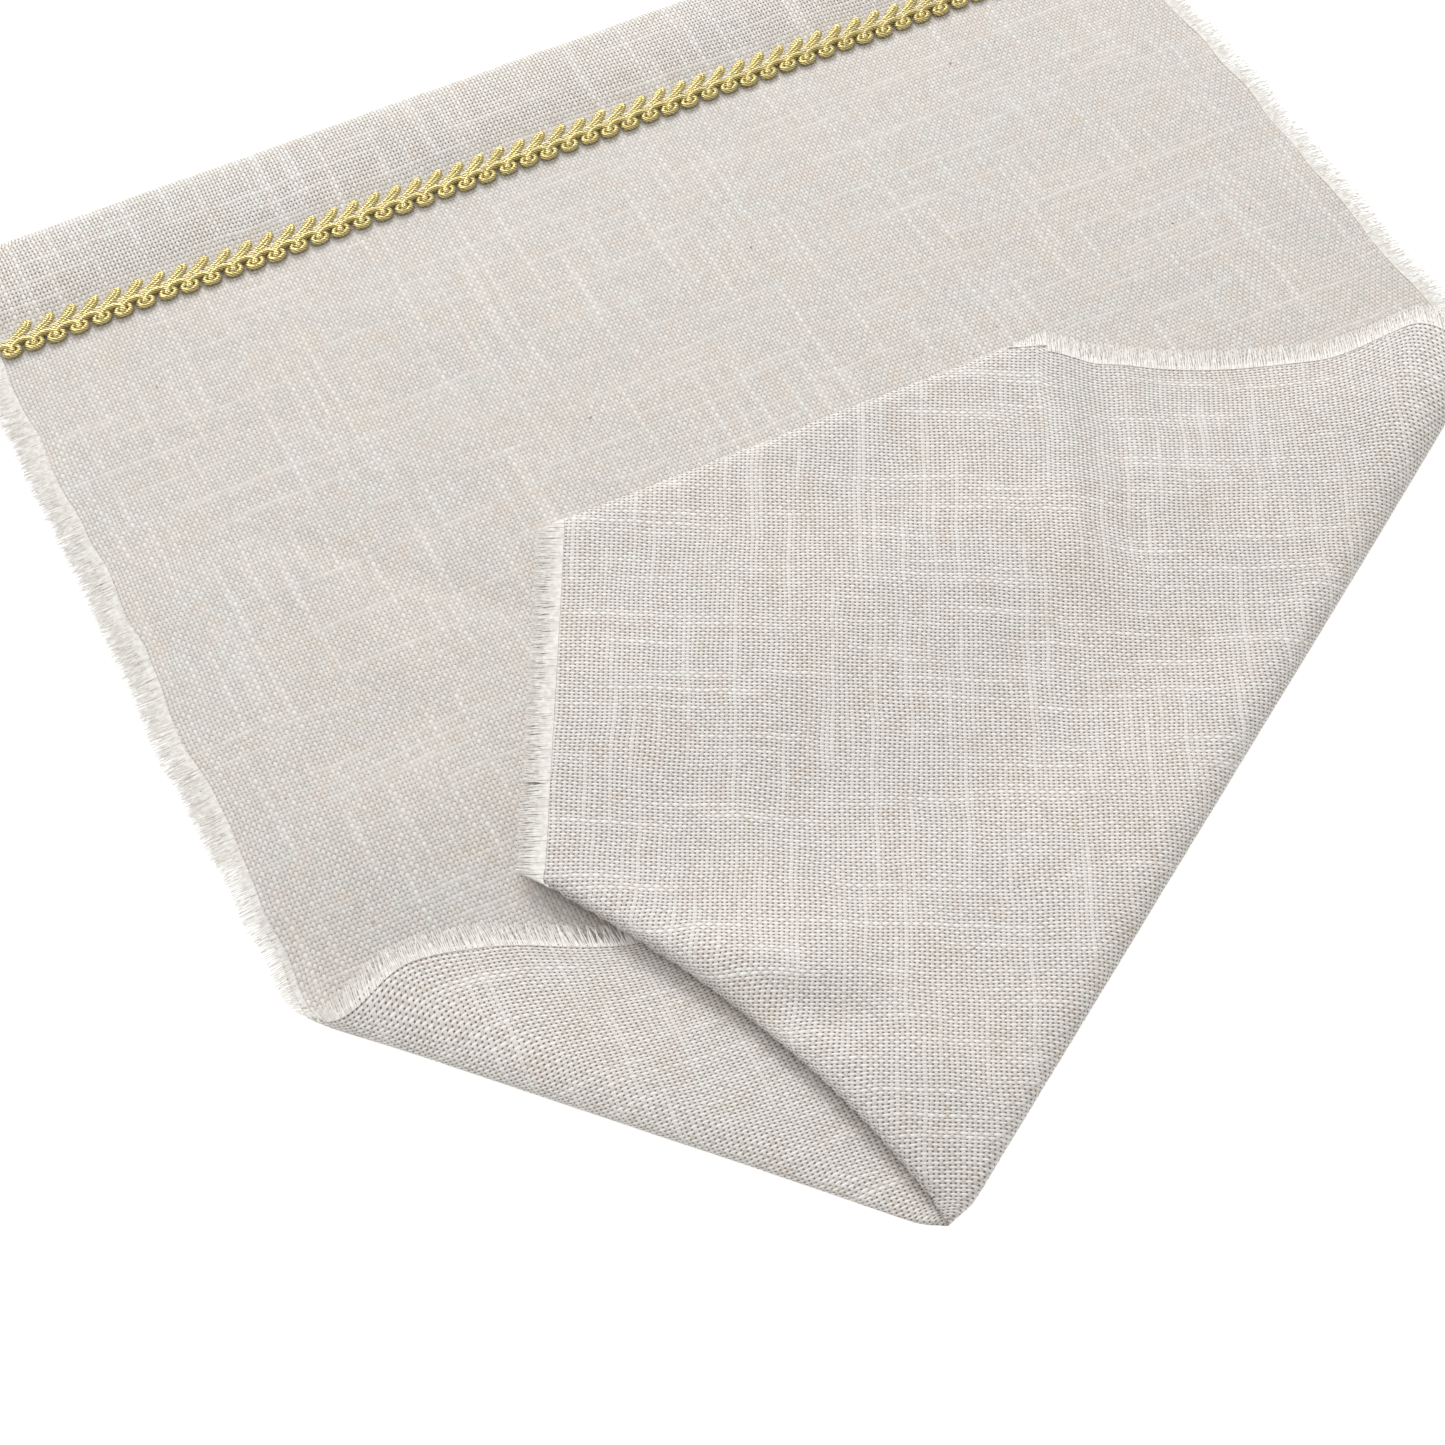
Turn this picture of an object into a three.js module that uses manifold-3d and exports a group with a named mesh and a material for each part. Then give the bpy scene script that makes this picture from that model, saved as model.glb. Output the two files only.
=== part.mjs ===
// A linen table runner with ravelled edges and one row of gimp braid.
// Its length is folded under in flat layers, and its free end is turned back over itself.
// Millimetres. +X along the braid, +Y towards the rolled back fold, +Z up.
// The origin is under the middle of the folded runner's box.
import * as THREE from 'three';
import { mergeVertices } from 'three/addons/utils/BufferGeometryUtils.js';
import Module from 'manifold-3d';

const wasm = await Module();
wasm.setup();

// The cloth, flat
const clothWidth = 320; // woven width, without the ravelled margins
const clothLength = 1820; // woven length
const clothThickness = 0.45;
const fringeLength = 5; // ravelled margin on all four sides

// How it is folded. Y is counted from the back fold while the runner is built.
const endDistance = 421; // from the back fold to the woven end, with the end laid out flat
const tip = new THREE.Vector2(-65, -334.5); // where the turned end and the turned corner meet
const leftCreaseY = -227.5; // where the left crease leaves the outer edge
const rightCreaseY = -197; // where the right crease leaves the outer edge
const pleatOnEnd = 12.5; // where the pleat's outer crease meets the end, from the middle
const tuckOnEnd = 103; // where the tucked point's crease meets the end
const tuckOnSide = -306; // where the tucked point's crease meets the right side
const stackFront = -188; // front folds of the hidden layers, behind both creases
const stackBackInset = 7; // back folds of the hidden layers, inside the roll
const layerPitch = 0.7; // one hidden layer to the next
const humpRise = 4.2; // how far the back roll stands above the layers
const humpDepth = 17; // how far forward the roll's slope runs
const frontSlope = 30; // length of the slope where the cloth comes down off the layers
const foldGap = 1.4; // height from one turned layer to the next
const creaseWall = 0.8; // width of the bend that joins two turned layers
const pieceGap = 0.3;

// The braid
const braidFromFold = 32.5; // back fold to the braid's centre line
const braidWidth = 8;
const braidPitch = 5.75; // one picot loop
const cordHeight = 1.2;
const chainWidth = 1.8;
const chainHeight = 1.6;
const threadWidth = 0.4;

const arcSteps = 6;
const cutterHeight = 60; // taller than the whole runner

const outerWidth = clothWidth + 2 * fringeLength;
const sheetZ = clothThickness / 2;

const linen = new THREE.MeshStandardMaterial({ color: 0xd9d2c6, roughness: 0.95, metalness: 0 });
const yarn = new THREE.MeshStandardMaterial({ color: 0xe4ded2, roughness: 0.95, metalness: 0 });
const gold = new THREE.MeshStandardMaterial({ color: 0xb89a3e, roughness: 0.4, metalness: 0.8 });
const paleGold = new THREE.MeshStandardMaterial({ color: 0xd8c98f, roughness: 0.6, metalness: 0.3 });
const thread = new THREE.MeshStandardMaterial({ color: 0xe0d5b8, roughness: 0.8, metalness: 0 });

// ---- solids ----

function toSolid(geometry) {
  geometry.deleteAttribute('normal');
  geometry.deleteAttribute('uv');
  const merged = mergeVertices(geometry, 1e-4);
  const mesh = new wasm.Mesh({
    numProp: 3,
    vertProperties: new Float32Array(merged.attributes.position.array),
    triVerts: new Uint32Array(merged.index.array),
  });
  return new wasm.Manifold(mesh);
}

function toMesh(name, solid, material) {
  const data = solid.getMesh();
  const geometry = new THREE.BufferGeometry();
  geometry.setAttribute('position', new THREE.BufferAttribute(data.vertProperties, 3));
  geometry.setIndex(new THREE.BufferAttribute(data.triVerts, 1));
  geometry.computeVertexNormals();
  const mesh = new THREE.Mesh(geometry, material);
  mesh.name = name;
  return mesh;
}

// An outline in the Y-Z plane, pushed along X from x0 to x1.
function alongX(outline, x0, x1) {
  const geometry = new THREE.ExtrudeGeometry(new THREE.Shape(outline), { depth: x1 - x0, bevelEnabled: false });
  const axes = new THREE.Matrix4().makeBasis(
    new THREE.Vector3(0, 1, 0),
    new THREE.Vector3(0, 0, 1),
    new THREE.Vector3(1, 0, 0),
  );
  geometry.applyMatrix4(axes);
  geometry.translate(x0, 0, 0);
  return toSolid(geometry);
}

// A plan outline, pushed up through everything, used to cut with.
function cutter(outline) {
  const geometry = new THREE.ExtrudeGeometry(new THREE.Shape(outline), { depth: cutterHeight, bevelEnabled: false });
  geometry.translate(0, 0, -cutterHeight / 2);
  return toSolid(geometry);
}

// ---- creases, as a point and a direction ----

function direction(angle) {
  return new THREE.Vector2(Math.cos(angle), Math.sin(angle));
}

function line(point, towards) {
  return { point, along: towards.clone().sub(point).normalize() };
}

function reflect(p, crease) {
  const away = p.clone().sub(crease.point);
  const along = crease.along.clone().multiplyScalar(2 * away.dot(crease.along));
  return along.sub(away).add(crease.point);
}

// Signed distance, positive to the left of the line.
function side(p, crease) {
  return crease.along.cross(p.clone().sub(crease.point));
}

// The part of a convex outline that lies to the left of a line.
function clip(outline, crease) {
  const kept = [];
  outline.forEach((a, i) => {
    const b = outline[(i + 1) % outline.length];
    const da = side(a, crease);
    const db = side(b, crease);
    if (da >= 0) kept.push(a);
    if (da * db < 0) kept.push(a.clone().lerp(b, da / (da - db)));
  });
  return kept;
}

function flip(crease) {
  return { point: crease.point, along: crease.along.clone().negate() };
}

function shifted(crease, distance) {
  const across = new THREE.Vector2(-crease.along.y, crease.along.x);
  return { point: crease.point.clone().addScaledVector(across, distance), along: crease.along };
}

const leftCrease = line(tip, new THREE.Vector2(-outerWidth / 2, leftCreaseY));
const rightCrease = line(tip, new THREE.Vector2(outerWidth / 2, rightCreaseY));
const pleatCrease = line(tip, new THREE.Vector2(pleatOnEnd, -endDistance - fringeLength));
const tuckCrease = line(
  new THREE.Vector2(tuckOnEnd, -endDistance - fringeLength),
  new THREE.Vector2(outerWidth / 2, tuckOnSide),
);

// A flat fold at one point closes only if opposite sectors add up to half a turn.
const baseSector = leftCrease.along.angle() - rightCrease.along.angle();
const innerAngle = pleatCrease.along.angle() - (Math.PI - baseSector);
const innerCrease = { point: tip, along: direction(innerAngle) };

// The same creases after the end has been turned over
const turnedPleat = line(tip, reflect(tip.clone().add(pleatCrease.along), rightCrease));
const turnedTuck = line(
  reflect(tuckCrease.point, rightCrease),
  reflect(tuckCrease.point.clone().add(tuckCrease.along), rightCrease),
);
const turnedInner = line(tip, reflect(tip.clone().add(innerCrease.along), leftCrease));

const onCorner = (p) => reflect(p, leftCrease);
const onEnd = (p) => reflect(p, rightCrease);
const onPleat = (p) => reflect(onEnd(p), turnedPleat);
const onTuck = (p) => reflect(onEnd(p), turnedTuck);

function rectangle(x0, x1, y0, y1) {
  return [
    new THREE.Vector2(x0, y0),
    new THREE.Vector2(x1, y0),
    new THREE.Vector2(x1, y1),
    new THREE.Vector2(x0, y1),
  ];
}

// Parts of a flat outline, by the crease they lie behind
const basePart = (o) => clip(clip(o, rightCrease), flip(leftCrease));
const cornerPart = (o) => clip(clip(o, leftCrease), flip(innerCrease));
const pleatPart = (o) => clip(clip(o, innerCrease), flip(pleatCrease));
const endPart = (o) => clip(clip(clip(o, pleatCrease), flip(rightCrease)), tuckCrease);
const tuckPart = (o) => clip(clip(clip(o, pleatCrease), flip(rightCrease)), flip(tuckCrease));

// ---- the long section: flat layers, back roll and top panel ----

function arc(y, z, radius, from, to, steps) {
  return Array.from({ length: steps + 1 }, (_, i) => {
    const a = from + ((to - from) * i) / steps;
    return new THREE.Vector2(y + radius * Math.cos(a), z + radius * Math.sin(a));
  });
}

const fullLayer = -stackBackInset - stackFront;
const bendLength = (Math.PI * layerPitch) / 2;
const hiddenLength = clothLength - endDistance;
const layerCount = Math.ceil(hiddenLength / (fullLayer + bendLength));
const lastLayer = hiddenLength - (layerCount - 1) * (fullLayer + bendLength);
const panelZ = sheetZ + layerCount * layerPitch;
const rollTopZ = panelZ + humpRise;
const rollRadius = (rollTopZ - sheetZ) / 2;
const rollY = -rollRadius - sheetZ;

function ease(t) {
  const s = Math.min(1, Math.max(0, t));
  return 0.5 - 0.5 * Math.cos(Math.PI * s);
}

// Height of the top panel's middle plane at a distance y from the back fold
function panelHeight(y) {
  const hump = humpRise * (1 - ease((rollY - y) / humpDepth));
  const drop = (panelZ - sheetZ) * ease((stackFront - y) / frontSlope);
  return panelZ + hump - drop;
}

function panelYs(front, back) {
  const slope = Array.from({ length: arcSteps + 1 }, (_, i) => stackFront - (frontSlope * (arcSteps - i)) / arcSteps);
  const hump = Array.from({ length: arcSteps + 1 }, (_, i) => rollY - (humpDepth * (arcSteps - i)) / arcSteps);
  const inside = [...slope, ...hump].filter((y) => y > front && y < back);
  return [front, ...inside, back];
}

function sectionLine() {
  const points = panelYs(tip.y - 1, rollY).map((y) => new THREE.Vector2(y, panelHeight(y)));
  points.push(...arc(rollY, sheetZ + rollRadius, rollRadius, Math.PI / 2, -Math.PI / 2, 2 * arcSteps).slice(1));
  for (let k = 0; k < layerCount; k += 1) {
    const z = sheetZ + k * layerPitch;
    const forward = k % 2 === 0;
    const last = k === layerCount - 1;
    const turnAt = forward ? stackFront : -stackBackInset;
    const lastStart = forward ? -stackBackInset : stackFront;
    const lastEnd = lastStart + (forward ? -lastLayer : lastLayer);
    if (last) {
      points.push(new THREE.Vector2(lastEnd, z));
    } else {
      const radius = layerPitch / 2;
      const from = -Math.PI / 2;
      const to = forward ? (-3 * Math.PI) / 2 : Math.PI / 2;
      points.push(...arc(turnAt, z + radius, radius, from, to, arcSteps));
    }
  }
  return points;
}

// The outline that a line takes when it is given the cloth's thickness
function thicken(points, thickness) {
  const left = [];
  const right = [];
  points.forEach((p, i) => {
    const before = points[Math.max(0, i - 1)];
    const after = points[Math.min(points.length - 1, i + 1)];
    const along = after.clone().sub(before).normalize();
    const across = new THREE.Vector2(-along.y, along.x).multiplyScalar(thickness / 2);
    left.push(p.clone().add(across));
    right.push(p.clone().sub(across));
  });
  return [...left, ...right.reverse()];
}

const section = thicken(sectionLine(), clothThickness);

// ---- turned layers, which lie at a height above the panel ----

function bandOver(outline, low, high) {
  const xs = outline.map((p) => p.x);
  const ys = outline.map((p) => p.y);
  const rows = panelYs(Math.min(...ys) - 1, Math.max(...ys) + 1);
  const under = rows.map((y) => new THREE.Vector2(y, panelHeight(y) + low - sheetZ));
  const over = rows.map((y) => new THREE.Vector2(y, panelHeight(y) + high + sheetZ));
  const band = alongX([...under, ...over.reverse()], Math.min(...xs) - 1, Math.max(...xs) + 1);
  return band.intersect(cutter(outline));
}

// A turned outline is drawn the other way round, so it is put in order again.
function turned(outline, fold) {
  const points = outline.map(fold);
  return THREE.ShapeUtils.isClockWise(points) ? points.reverse() : points;
}

// The bend that joins a turned layer to the one it turns away from. It keeps within both outlines.
function wall(outline, joined, crease, low, high) {
  const centre = outline.reduce((sum, p) => sum.add(p), new THREE.Vector2()).divideScalar(outline.length);
  const facing = side(centre, crease) > 0 ? crease : flip(crease);
  const strip = clip(outline, flip(shifted(facing, creaseWall)));
  return bandOver(strip, low, high).intersect(cutter(joined));
}

const level = { corner: foldGap, pleat: 2 * foldGap, tuck: 2 * foldGap, end: 3 * foldGap };

function clothSolid() {
  const flat = rectangle(-clothWidth / 2, clothWidth / 2, -endDistance, rollRadius);
  const base = basePart(flat);
  const corner = turned(cornerPart(flat), onCorner);
  const pleat = turned(pleatPart(flat), onPleat);
  const end = turned(endPart(flat), onEnd);
  const tuck = turned(tuckPart(flat), onTuck);
  return [
    bandOver(corner, level.corner, level.corner),
    wall(corner, base, leftCrease, 0, level.corner),
    bandOver(pleat, level.pleat, level.pleat),
    wall(pleat, corner, turnedInner, level.corner, level.pleat),
    bandOver(end, level.end, level.end),
    wall(end, pleat, turnedPleat, level.pleat, level.end),
    wall(end, base, rightCrease, 0, level.end),
    bandOver(tuck, level.tuck, level.tuck),
    wall(tuck, end, turnedTuck, level.tuck, level.end),
  ].reduce((sum, piece) => sum.add(piece), alongX(section, -clothWidth / 2, clothWidth / 2).intersect(cutter(base)));
}

// ---- ravelled margins ----

const marginIn = clothWidth / 2 + pieceGap;
const marginOut = outerWidth / 2;
const leftMargin = rectangle(-marginOut, -marginIn, -endDistance, rollRadius);
const rightMargin = rectangle(marginIn, marginOut, -endDistance, rollRadius);
const endMargin = rectangle(-marginOut, marginOut, -endDistance - fringeLength, -endDistance - pieceGap);

function sideFringe(margin, x0, x1) {
  return alongX(section, x0, x1).intersect(cutter(basePart(margin)));
}

function turnedFringe(outline, fold, height) {
  return bandOver(turned(outline, fold), height, height);
}

// ---- braid ----

const braidY = -braidFromFold;
const braidZ = panelZ + sheetZ + pieceGap;

const loopCount = Math.floor(clothWidth / braidPitch - 0.5);
const stagger = braidPitch / 4; // the two cords' loops stand half a loop apart
const braidLength = loopCount * braidPitch + 2 * stagger;

// One of the two looped cords: straight inside, a scallop for each loop outside
function loopedCord(sign) {
  const inner = chainWidth / 2 + pieceGap;
  const scallop = braidWidth / 2 - inner;
  const start = (-loopCount * braidPitch) / 2 + sign * stagger;
  const shape = new THREE.Shape();
  shape.moveTo(start, inner);
  for (let i = 0; i < loopCount; i += 1) {
    const x = start + i * braidPitch;
    shape.lineTo(x, inner + scallop / 2);
    shape.absellipse(x + braidPitch / 2, inner + scallop / 2, braidPitch / 2, scallop / 2, Math.PI, 0, true);
  }
  shape.lineTo(start + loopCount * braidPitch, inner);
  shape.closePath();
  const geometry = new THREE.ExtrudeGeometry(shape, { depth: cordHeight, bevelEnabled: false, curveSegments: 3 });
  const solid = toSolid(geometry);
  const placed = sign > 0 ? solid : solid.mirror([0, 1, 0]);
  return placed.translate([0, braidY, braidZ]);
}

function strip(width, height, z) {
  const geometry = new THREE.BoxGeometry(braidLength, width, height);
  geometry.translate(0, braidY, z + height / 2);
  return toSolid(geometry);
}

// ---- assembly ----

const group = new THREE.Group();
const pieces = [
  ['linen_cloth', clothSolid(), linen],
  ['fringe_left_side', sideFringe(leftMargin, -marginOut, -marginIn), yarn],
  ['fringe_right_side', sideFringe(rightMargin, marginIn, marginOut), yarn],
  ['fringe_turned_corner', turnedFringe(cornerPart(leftMargin), onCorner, level.corner), yarn],
  ['fringe_turned_side', turnedFringe(endPart(rightMargin), onEnd, level.end), yarn],
  ['fringe_turned_end', turnedFringe(endPart(endMargin), onEnd, level.end), yarn],
  ['braid_back_cord', loopedCord(1), gold],
  ['braid_front_cord', loopedCord(-1), gold],
  ['braid_centre_chain', strip(chainWidth, chainHeight, braidZ), paleGold],
  ['braid_sewing_thread', strip(threadWidth, threadWidth, braidZ + chainHeight + pieceGap), thread],
];
pieces.forEach(([name, solid, material]) => group.add(toMesh(name, solid, material)));

// Move from the back fold to the middle of the folded runner.
group.position.y = -tip.y / 2;

export default group;
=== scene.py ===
# %% [markdown]
# # A linen table runner, folded for display
# The runner is one long sheet of loose plain-weave linen. Its edges are ravelled into a short fringe,
# and a row of gold gimp braid is sewn across it. Most of its length is folded away underneath in flat layers.
# The free end is turned back over itself, and its near corner is tucked in.
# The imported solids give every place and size, so they are loaded before anything is made.

# %% Load the frame
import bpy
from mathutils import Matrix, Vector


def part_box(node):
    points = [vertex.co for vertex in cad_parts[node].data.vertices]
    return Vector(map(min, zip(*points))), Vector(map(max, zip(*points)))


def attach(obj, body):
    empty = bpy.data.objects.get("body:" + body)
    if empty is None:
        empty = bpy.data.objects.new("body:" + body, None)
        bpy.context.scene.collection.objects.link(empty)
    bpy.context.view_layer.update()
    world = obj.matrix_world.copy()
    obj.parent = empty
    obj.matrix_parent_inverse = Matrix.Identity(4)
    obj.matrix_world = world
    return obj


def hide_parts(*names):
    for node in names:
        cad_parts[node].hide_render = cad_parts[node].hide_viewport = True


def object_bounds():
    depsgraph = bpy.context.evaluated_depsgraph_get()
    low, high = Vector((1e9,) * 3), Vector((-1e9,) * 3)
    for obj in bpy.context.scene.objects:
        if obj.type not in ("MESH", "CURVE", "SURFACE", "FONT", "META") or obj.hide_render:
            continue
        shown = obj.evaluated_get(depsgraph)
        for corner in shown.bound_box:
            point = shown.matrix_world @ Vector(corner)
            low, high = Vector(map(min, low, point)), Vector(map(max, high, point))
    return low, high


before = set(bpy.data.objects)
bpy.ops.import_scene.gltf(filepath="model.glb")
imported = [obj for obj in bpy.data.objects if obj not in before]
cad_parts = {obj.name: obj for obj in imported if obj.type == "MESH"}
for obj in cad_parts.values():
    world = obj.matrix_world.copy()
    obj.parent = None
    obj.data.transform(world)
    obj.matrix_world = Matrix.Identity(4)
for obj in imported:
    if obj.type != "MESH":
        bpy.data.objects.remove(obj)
cad_low, cad_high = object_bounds()
print("frame from", tuple(round(c, 4) for c in cad_low), "to", tuple(round(c, 4) for c in cad_high))

# %% Imports and units
import math
import random

import bmesh
import bpy
from mathutils import Vector, noise

MM = 0.001
scene = bpy.context.scene

# %% [markdown]
# ## Camera
# The runner is seen from above and in front of its left edge, close enough for the threads to show.
# A long lens keeps the lines of the weave almost parallel.

# %% Camera
camera_place = Vector((-203.8, -335.1, 515.8)) * MM
camera_target = Vector((-51.0, -39.6, 4.0)) * MM
camera_data = bpy.data.cameras.new("camera")
camera_data.sensor_width = 36
camera_data.lens = 68.4
camera_data.clip_start = 0.01
camera = bpy.data.objects.new("camera", camera_data)
camera.location = camera_place
camera.rotation_mode = "QUATERNION"
camera.rotation_quaternion = (camera_target - camera_place).to_track_quat("-Z", "Y")
scene.collection.objects.link(camera)
scene.camera = camera
print("camera", round((camera_target - camera_place).length, 3), "m from the runner")

# %% [markdown]
# ## Helpers for meshes
# A bmesh becomes an object at the origin, so its place stays in its mesh.
# Threads and cords are curves with a round bevel. A curve keeps thousands of short threads quick to make,
# and it is turned into a mesh once its threads are laid.


# %% Mesh and thread helpers
def make_piece(name, shape):
    """Turns a bmesh into a smooth-shaded object."""
    mesh = bpy.data.meshes.new(name)
    shape.to_mesh(mesh)
    shape.free()
    mesh.shade_smooth()
    piece = bpy.data.objects.new(name, mesh)
    scene.collection.objects.link(piece)
    return piece


def make_threads(name, threads, roundness=0):
    """Turns lists of (point, radius) into one mesh of round threads."""
    curve = bpy.data.curves.new(name + "_line", "CURVE")
    curve.dimensions = "3D"
    curve.bevel_depth = 1
    curve.bevel_resolution = roundness
    curve.use_fill_caps = True
    for thread in threads:
        spline = curve.splines.new("POLY")
        spline.points.add(len(thread) - 1)
        for point, (place, radius) in zip(spline.points, thread):
            point.co = (*place, 1)
            point.radius = radius
    holder = bpy.data.objects.new(name + "_line", curve)
    scene.collection.objects.link(holder)
    depsgraph = bpy.context.evaluated_depsgraph_get()
    mesh = bpy.data.meshes.new_from_object(holder.evaluated_get(depsgraph))
    bpy.data.objects.remove(holder)
    mesh.name = name
    mesh.shade_smooth()
    piece = bpy.data.objects.new(name, mesh)
    scene.collection.objects.link(piece)
    print(name, len(threads), "threads,", len(mesh.polygons), "faces")
    return piece


def ease(t):
    """Rises smoothly from 0 to 1 while t does."""
    return 0.5 - 0.5 * math.cos(math.pi * min(1, max(0, t)))


def bump(t):
    """1 at t = 0, and falls smoothly to nothing either side."""
    return math.exp(-t * t)


# %% [markdown]
# ## The cloth's size and its folds
# The sheet is described flat first: x runs across the width and y along the length.
# Five creases turn it. Four of them meet at one tip, as they do where a corner is folded over and
# then the end is folded over it. The fifth tucks a point of the end underneath.
# A flat fold mirrors the cloth in the crease, so each part's folded place is one or more mirrorings.

# %% Sizes
cloth_width = 320 * MM
cloth_length = 1820 * MM
cloth_thickness = 0.45 * MM
fringe_length = 5 * MM
end_distance = 421 * MM  # from the back fold to the woven end, laid out flat
stack_front = -188 * MM  # front folds of the hidden layers, from the back fold
stack_back = -7 * MM
layer_pitch = 0.7 * MM
layer_count = 8
hump_rise = 4.2 * MM
hump_depth = 22.5 * MM
front_slope = 62 * MM

# Ends of the creases, in millimetres from the middle of the back fold
outer_side = 165
outer_end = 426
left_turn = 227.5
right_turn = 197
tuck_turn = 306

back_y = cad_high.y
end_y = back_y - end_distance
half_width = cloth_width / 2
sheet_z = cloth_thickness / 2
panel_z = sheet_z + layer_count * layer_pitch
roll_radius = (panel_z + hump_rise - sheet_z) / 2
roll_y = -roll_radius - sheet_z
print("top panel at", round(panel_z, 5), "m, roll radius", round(roll_radius, 5), "m")


# %% Creases
class Crease:
    """A straight fold line through a point."""

    def __init__(self, point, towards):
        self.point = point
        self.along = (towards - point).normalized()
        self.across = Vector((-self.along.y, self.along.x))

    def mirror(self, p):
        away = p - self.point
        return self.point + 2 * away.dot(self.along) * self.along - away

    def places(self, p):
        """Distance along the crease, and distance to its left."""
        away = p - self.point
        return away.dot(self.along), away.dot(self.across)


def from_fold(x, y):
    """A point given in millimetres from the middle of the back fold."""
    return Vector((x * MM, back_y + y * MM))


def angle_of(vector):
    return math.atan2(vector.y, vector.x) % math.tau


tip = Vector((-65 * MM, cad_low.y))
left_corner = from_fold(-outer_side, -left_turn)
left_crease = Crease(tip, left_corner)
right_crease = Crease(tip, from_fold(outer_side, -right_turn))
pleat_crease = Crease(tip, from_fold(12.5, -outer_end))
tuck_crease = Crease(from_fold(103, -outer_end), from_fold(outer_side, -tuck_turn))
base_sector = angle_of(left_crease.along) - angle_of(right_crease.along)
inner_angle = angle_of(pleat_crease.along) - (math.pi - base_sector)
inner_crease = Crease(tip, tip + Vector((math.cos(inner_angle), math.sin(inner_angle))))
turned_pleat = Crease(tip, right_crease.mirror(tip + pleat_crease.along))
turned_tuck = Crease(
    right_crease.mirror(tuck_crease.point),
    right_crease.mirror(tuck_crease.point + tuck_crease.along),
)
turned_inner = Crease(tip, left_crease.mirror(tip + inner_crease.along))
print("tip at", tuple(round(c, 4) for c in tip))
print("base sector", round(math.degrees(base_sector), 1), "degrees")


# %% [markdown]
# ## Heights of the layers
# Linen doesn't crease to a knife edge. A fold is a soft roll whose size grows away from the tip,
# so each turned layer stands higher beside its crease and settles down further in.
# All the layers share one gentle wave, so none of them passes through another.

# %% Layer heights
fold_gap = 1.4 * MM
tip_settle = 9 * MM
pleat_span = 124 * MM
pleat_bow = 7.5 * MM
pleat_relax = 62 * MM
tuck_rim = 1.3 * MM
bed_back = -200 * MM  # behind this line the turned end lies straight on the panel
bed_slope = 80 * MM
crown_softness = 0.004  # rounds the foot of the hump
corner_fade = 30 * MM  # how far each raised edge takes to sink back to its layer
pleat_fade = 60 * MM
lip_fade = 28 * MM
side_fade = 26 * MM
rim_fade = 13 * MM


def panel_height(y):
    """Middle of the top panel, at a distance y from the back fold."""
    share = max(0, (roll_y - y) / hump_depth)
    crown = 1 - share * share
    hump = hump_rise * (crown + math.sqrt(crown * crown + crown_softness)) / 2
    drop = (panel_z - sheet_z) * ease((stack_front - y) / front_slope)
    return panel_z + hump - drop


def settle(distance, reach):
    return 1 - math.exp(-max(0, distance) / reach)


def swell(t):
    """0 at both ends of the pleat and 1 in its middle."""
    return math.sin(math.pi * min(1, max(0, t / pleat_span))) ** 0.8


# Each roll is half an ellipse: how far it reaches in the plan, and half its height.
def left_roll(t):
    return (0.3 + 9.5 * settle(t, 45 * MM)) * MM, (0.25 + 2.3 * settle(t, 60 * MM)) * MM


def inner_roll(t):
    return (0.2 + 0.6 * settle(t, 20 * MM)) * MM, (0.2 + 0.5 * settle(t, 20 * MM)) * MM


def right_roll(t):
    return (0.3 + 5.5 * settle(t, 45 * MM)) * MM, (0.3 + 2.9 * settle(t, 45 * MM)) * MM


tuck_roll = (2.2 * MM, 1.1 * MM)


def pleat_roll(t):
    return (0.4 + 8.5 * swell(t)) * MM, (0.3 + 0.5 * settle(t, 20 * MM) + 1.6 * swell(t)) * MM


def bow_of_pleat(t):
    return pleat_bow * swell(t)


def soft_wave(p):
    slow = noise.noise(Vector((p.x * 13, p.y * 13, 0.3)))
    fine = noise.noise(Vector((p.x * 38, p.y * 45, 4.1)))
    return (0.6 + 0.6 * slow + 0.45 * fine) * MM


# Soft creases: the layer they are in, both ends in millimetres from the back fold, width and height
crease_marks = [
    ("base", (-116, -119), (-84, -155), 4, -0.9),
    ("base", (-118, -135), (-131, -176), 4, -0.8),
    ("base", (-121, -130), (-104, -168), 6, 0.5),
    ("end", (67, -150), (45, -200), 5, 1.2),
    ("end", (77, -153), (58, -205), 4, -0.9),
    ("end", (-96, -247), (-68, -270), 7, 1.3),
    ("end", (-72, -277), (-64, -284), 6, -1.6),
    ("end", (-55, -268), (-52, -300), 7, 0.9),
]


def creased(layer, p):
    """Height added by the soft creases in one layer."""
    total = 0
    for where, start, stop, width, height in crease_marks:
        if where != layer:
            continue
        a, b = from_fold(*start), from_fold(*stop)
        span = b - a
        t = (p - a).dot(span) / span.length_squared
        off = (p - a - span * t).length
        past = max(0, -t, t - 1) * span.length
        total += height * MM * bump(off / (width * MM)) * bump(past / (10 * MM))
    return total


def near(distance, reach):
    return bump(distance / reach)


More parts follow.
